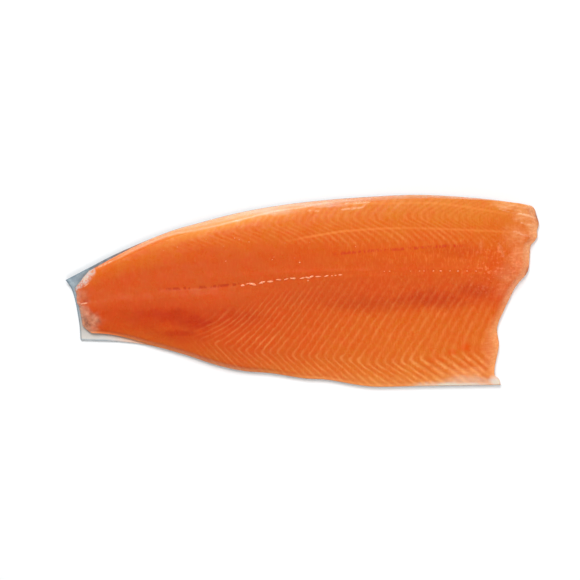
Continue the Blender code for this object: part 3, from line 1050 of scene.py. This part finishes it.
def make_flesh():
    mesh = slab(FLESH_COLUMNS, FLESH_ROWS, FLESH_THINNER)
    u, v, upper = slab_shares(mesh)
    inner_u, inner_v = stop_short(u, v)
    place = plan(inner_u, inner_v)
    x, y = place[:, 0], place[:, 1]
    low, across = cross_section(x)
    share = np.clip((y - low) / across, 0, 1)
    count = septum_count(x, share)
    marks = flesh_marks(x, y, share, u, v)
    length, width = spans(u, v)
    from_edge = np.minimum.reduce([v * width, (1 - v) * width, u * length, (1 - u) * length])
    relief = flesh_relief(x, y, marks, count, smooth_step(0.5, 6, from_edge))
    lower_face = skin_underside(inner_u, inner_v) + SKIN + GAP
    points = np.column_stack([place, np.where(upper, flesh_height(x, u, v) + relief, lower_face)])
    flake_map = np.column_stack([count, share])
    piece = finish_piece("flesh_dressed", mesh, points, marks, flake_map, FLESH_MATERIAL)
    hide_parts("flesh")
    return piece


flesh = make_flesh()

# %% [markdown]
# ## Pin bone fat
#
# Where the pin bones were pulled, small pale beads of fat stand in a row. They catch the light by
# themselves, so they are little solids: each one an icosphere, drawn out along the row, lumpy,
# and sunk to its middle in the flesh. Further on, tiny dots stand about one to a septum, and four
# more lie in the loin.

# %% Pin bone beads
# X, Y, length and width of each bead
FAT_BEADS = [
    (-59.2, 5.5, 4.2, 2.4), (-54.5, 7.2, 3.2, 1.3), (-49.8, 6.8, 7.2, 3.1), (-40.2, 8.5, 6.4, 2.6),
    (-32.5, 9.3, 5.6, 2.6), (-24.0, 11.2, 5.2, 2.0), (-16.2, 11.7, 4.8, 1.5), (-10.2, 12.4, 5.2, 2.1),
    (-8.8, 12.6, 3.6, 1.7), (-0.2, 12.8, 5.2, 1.8), (4.8, 13.2, 5.0, 2.3), (8.6, 14.2, 5.2, 2.2),
    (5.2, 10.3, 1.8, 1.9), (15.2, 14.3, 6.2, 1.8), (23.6, 15.0, 4.8, 1.8), (28.9, 15.1, 1.8, 1.2),
    (32.4, 15.4, 2.0, 1.5), (37.0, 15.9, 3.8, 1.9), (119.7, 19.8, 1.7, 0.9), (129.1, 19.8, 1.8, 1.1),
    (136.4, 19.9, 2.4, 1.4), (145.6, 19.8, 1.7, 0.9), (153.4, 19.8, 2.0, 1.3), (162.5, 19.8, 1.9, 1.2),
    (80.5, 19.4, 1.3, 0.8), (85.8, 19.6, 1.5, 0.9), (106.4, 19.7, 1.3, 0.8), (115.2, 19.8, 1.5, 0.8),
    (171.4, 19.7, 1.5, 1.0), (-76.0, 29.5, 1.4, 1.0), (-30.0, 31.0, 1.5, 0.9), (-3.0, 28.2, 1.3, 1.5),
    (52.0, 43.8, 1.2, 0.9),
]
BEAD_SLOPE = 0.09  # the row climbs this much towards the collar
BEAD_TURN = 0.3  # and each bead is turned by up to this much more, in radians
BEAD_BREADTH, BEAD_HEIGHT = 0.4, 0.26  # half of each, as a share of the bead's width
BEAD_LUMPS, BEAD_LIFT = 0.35, 0.02
BEAD_SHINE = {"Subsurface Weight": 0.3, "Subsurface Scale": 1 * MM}


def make_fat_material():
    material, tree, shader, place = new_material("pin_bone_fat", BEAD_SHINE)
    grain = speckle(tree, place, 1.2, detail=3.0)
    colour = blend(tree, grain, linear(244, 116, 64), linear(255, 176, 132))
    tree.links.new(colour, shader.inputs["Base Color"])
    add_bump(tree, shader, wet_film(tree, shader, 0.24, 0.4, 3.0), 0.2, 0.5)
    return material


def surface_height(piece, x, y):
    """Height of a piece's upper face at a place, by a ray from above."""
    _, point, _, _ = piece.ray_cast((x * MM, y * MM, 1), (0, 0, -1))
    return point.z / MM


def make_fat_beads():
    beads = bmesh.new()
    for number, (x, y, length, width) in enumerate(FAT_BEADS):
        made = bmesh.ops.create_icosphere(beads, subdivisions=3, radius=1)
        for vertex in made["verts"]:
            lump = noise.noise(vertex.co * 1.6 + Vector((number * 3.7, 0, 0)))
            vertex.co *= 1 + BEAD_LUMPS * lump
        sides = (length / 2, BEAD_BREADTH * width, BEAD_HEIGHT * width)
        place = (x, y, surface_height(flesh, x, y) + BEAD_LIFT)
        turn = math.atan(BEAD_SLOPE) + BEAD_TURN * math.sin(number * 2.4)
        shape = Matrix.Rotation(turn, 4, "Z") @ Matrix.Diagonal((*(side * MM for side in sides), 1))
        move = Matrix.Translation([value * MM for value in place])
        bmesh.ops.transform(beads, matrix=move @ shape, verts=made["verts"])
    data = bpy.data.meshes.new("pin_bone_fat")
    beads.to_mesh(data)
    beads.free()
    data.materials.append(make_fat_material())
    data.shade_smooth()
    piece = bpy.data.objects.new("pin_bone_fat", data)
    bpy.context.scene.collection.objects.link(piece)
    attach(piece, "root")
    print("pin_bone_fat", len(FAT_BEADS), "beads,", len(data.polygons), "faces")
    return piece


fat_beads = make_fat_beads()

# %% [markdown]
# ## Skin
#
# The skin is silver at the belly and dark blue-grey with small black spots at the back, and it
# is covered with small scales. That side faces down and shows only where the skin curls up at
# the long edges. What shows from above is its inner side: a thin bare rim, blue-grey at the tail.
# A mark on the vertices says which side is which, so that one material can dress both.

# %% Skin material
SCALE_SIZE, SPOT_ROOM = 3.2, 16
OUTER_COLOURS = [
    (0.0, (214, 214, 208)), (0.3, (196, 202, 204)), (0.55, (164, 176, 184)),
    (0.7, (112, 128, 138)), (0.85, (62, 78, 88)), (1.0, (48, 60, 68)),
]
INNER_COLOURS = [
    (0.0, (184, 186, 184)), (0.04, (196, 190, 182)), (0.2, (184, 178, 170)),
    (0.4, (152, 163, 170)), (0.8, (144, 166, 180)), (1.0, (124, 144, 158)),
]
STAIN_COLOURS = [
    (0.0, (240, 170, 120)), (0.8, (240, 160, 104)), (0.95, (200, 130, 92)), (1.0, (180, 120, 90)),
]


def scaly_side(tree, place, share):
    """Colour of the side with the scales, and the height of their domes."""
    stretched = add(tree, "ShaderNodeMapping", {"Vector": place, "Scale": (0.8, 1.0, 0.3)})
    scales = add(
        tree, "ShaderNodeTexVoronoi",
        {"Vector": stretched.outputs["Vector"], "Scale": 1 / (SCALE_SIZE * MM), "Randomness": 0.35},
        feature="SMOOTH_F1",
    )
    dome = scales.outputs["Distance"]
    spots = add(tree, "ShaderNodeTexVoronoi", {"Vector": place, "Scale": 1 / (SPOT_ROOM * MM)})
    spot = threshold(tree, spots.outputs["Distance"], 0.1, 0.17, 1.0, 0.0)
    colour = lay_over(tree, ramp(tree, share, OUTER_COLOURS), [
        (threshold(tree, dome, 0.35, 0.75, 0.0, 0.35), (90, 100, 106)),
        (product(tree, spot, threshold(tree, share, 0.6, 0.72)), (30, 34, 38)),
    ])
    return colour, dome


def inner_side(tree, place, share):
    """Colour of the side that was cut from the flesh, silver where it is clean."""
    silver = threshold(tree, speckle(tree, place, 5, detail=3.0), 0.42, 0.66, 0.0, 0.7)
    silver = product(tree, silver, threshold(tree, share, 0.3, 0.5, 0.15, 1.0))
    return lay_over(tree, ramp(tree, share, INNER_COLOURS), [
        (silver, (172, 194, 204)),
        (product(tree, speckle(tree, place, 6, detail=4.0), 0.4), (176, 172, 170)),
        (mark(tree, "edge"), (104, 128, 142)),
        (mark(tree, "flesh_stain"), ramp(tree, share, STAIN_COLOURS)),
    ])


def make_skin_material():
    material, tree, shader, place = new_material("silver_salmon_skin", {})
    _, share = flake_places(tree)
    outside = mark(tree, "outside")
    outer, dome = scaly_side(tree, place, share)
    colour = blend(tree, outside, inner_side(tree, place, share), outer)
    tree.links.new(colour, shader.inputs["Base Color"])
    tree.links.new(product(tree, outside, 0.35), shader.inputs["Metallic"])
    film_height = wet_film(tree, shader, 0.22, 0.4, 12.0)
    height = calc(tree, "SUBTRACT", product(tree, film_height, 0.3), product(tree, dome, outside))
    add_bump(tree, shader, height, 0.3, 0.7)
    return material


SKIN_MATERIAL = make_skin_material()
print(SKIN_MATERIAL.name, len(SKIN_MATERIAL.node_tree.nodes), "nodes")

# %% [markdown]
# ## The skin piece
#
# The skin is one thin slab as wide as the whole outline, curled up along its two long edges. Its
# marks say which side is the outer one, where the flesh has stained it and where its cut edge
# shows.

# %% Skin piece
SKIN_COLUMNS, SKIN_ROWS = 240, 128
CLEAN_CORNER = [(230, 80, 16, 16, 1)]


def make_skin():
    mesh = slab(SKIN_COLUMNS, SKIN_ROWS, 1)
    u, v, upper = slab_shares(mesh)
    place = plan(u, v)
    x, y = place[:, 0], place[:, 1]
    low = skin_underside(u, v)
    cross_low, across = cross_section(x)
    share = np.clip((y - cross_low) / across, 0, 1)
    length, width = spans(u, v)
    from_edge = np.minimum.reduce([v * width, (1 - v) * width, u * length])
    marks = {
        "outside": np.where(upper, 0.0, 1.0),
        "edge": 0.6 * fades(0.3, 1.8, from_edge) * fades(-200, -150, x),
        "flesh_stain": 0.9 * smooth_step(-200, -150, x) - 0.45 * patches(x, y, 0 * x, CLEAN_CORNER),
    }
    points = np.column_stack([place, np.where(upper, low + SKIN, low)])
    piece = finish_piece("skin_dressed", mesh, points, marks, np.column_stack([u, share]), SKIN_MATERIAL)
    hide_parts("skin")
    return piece


skin = make_skin()
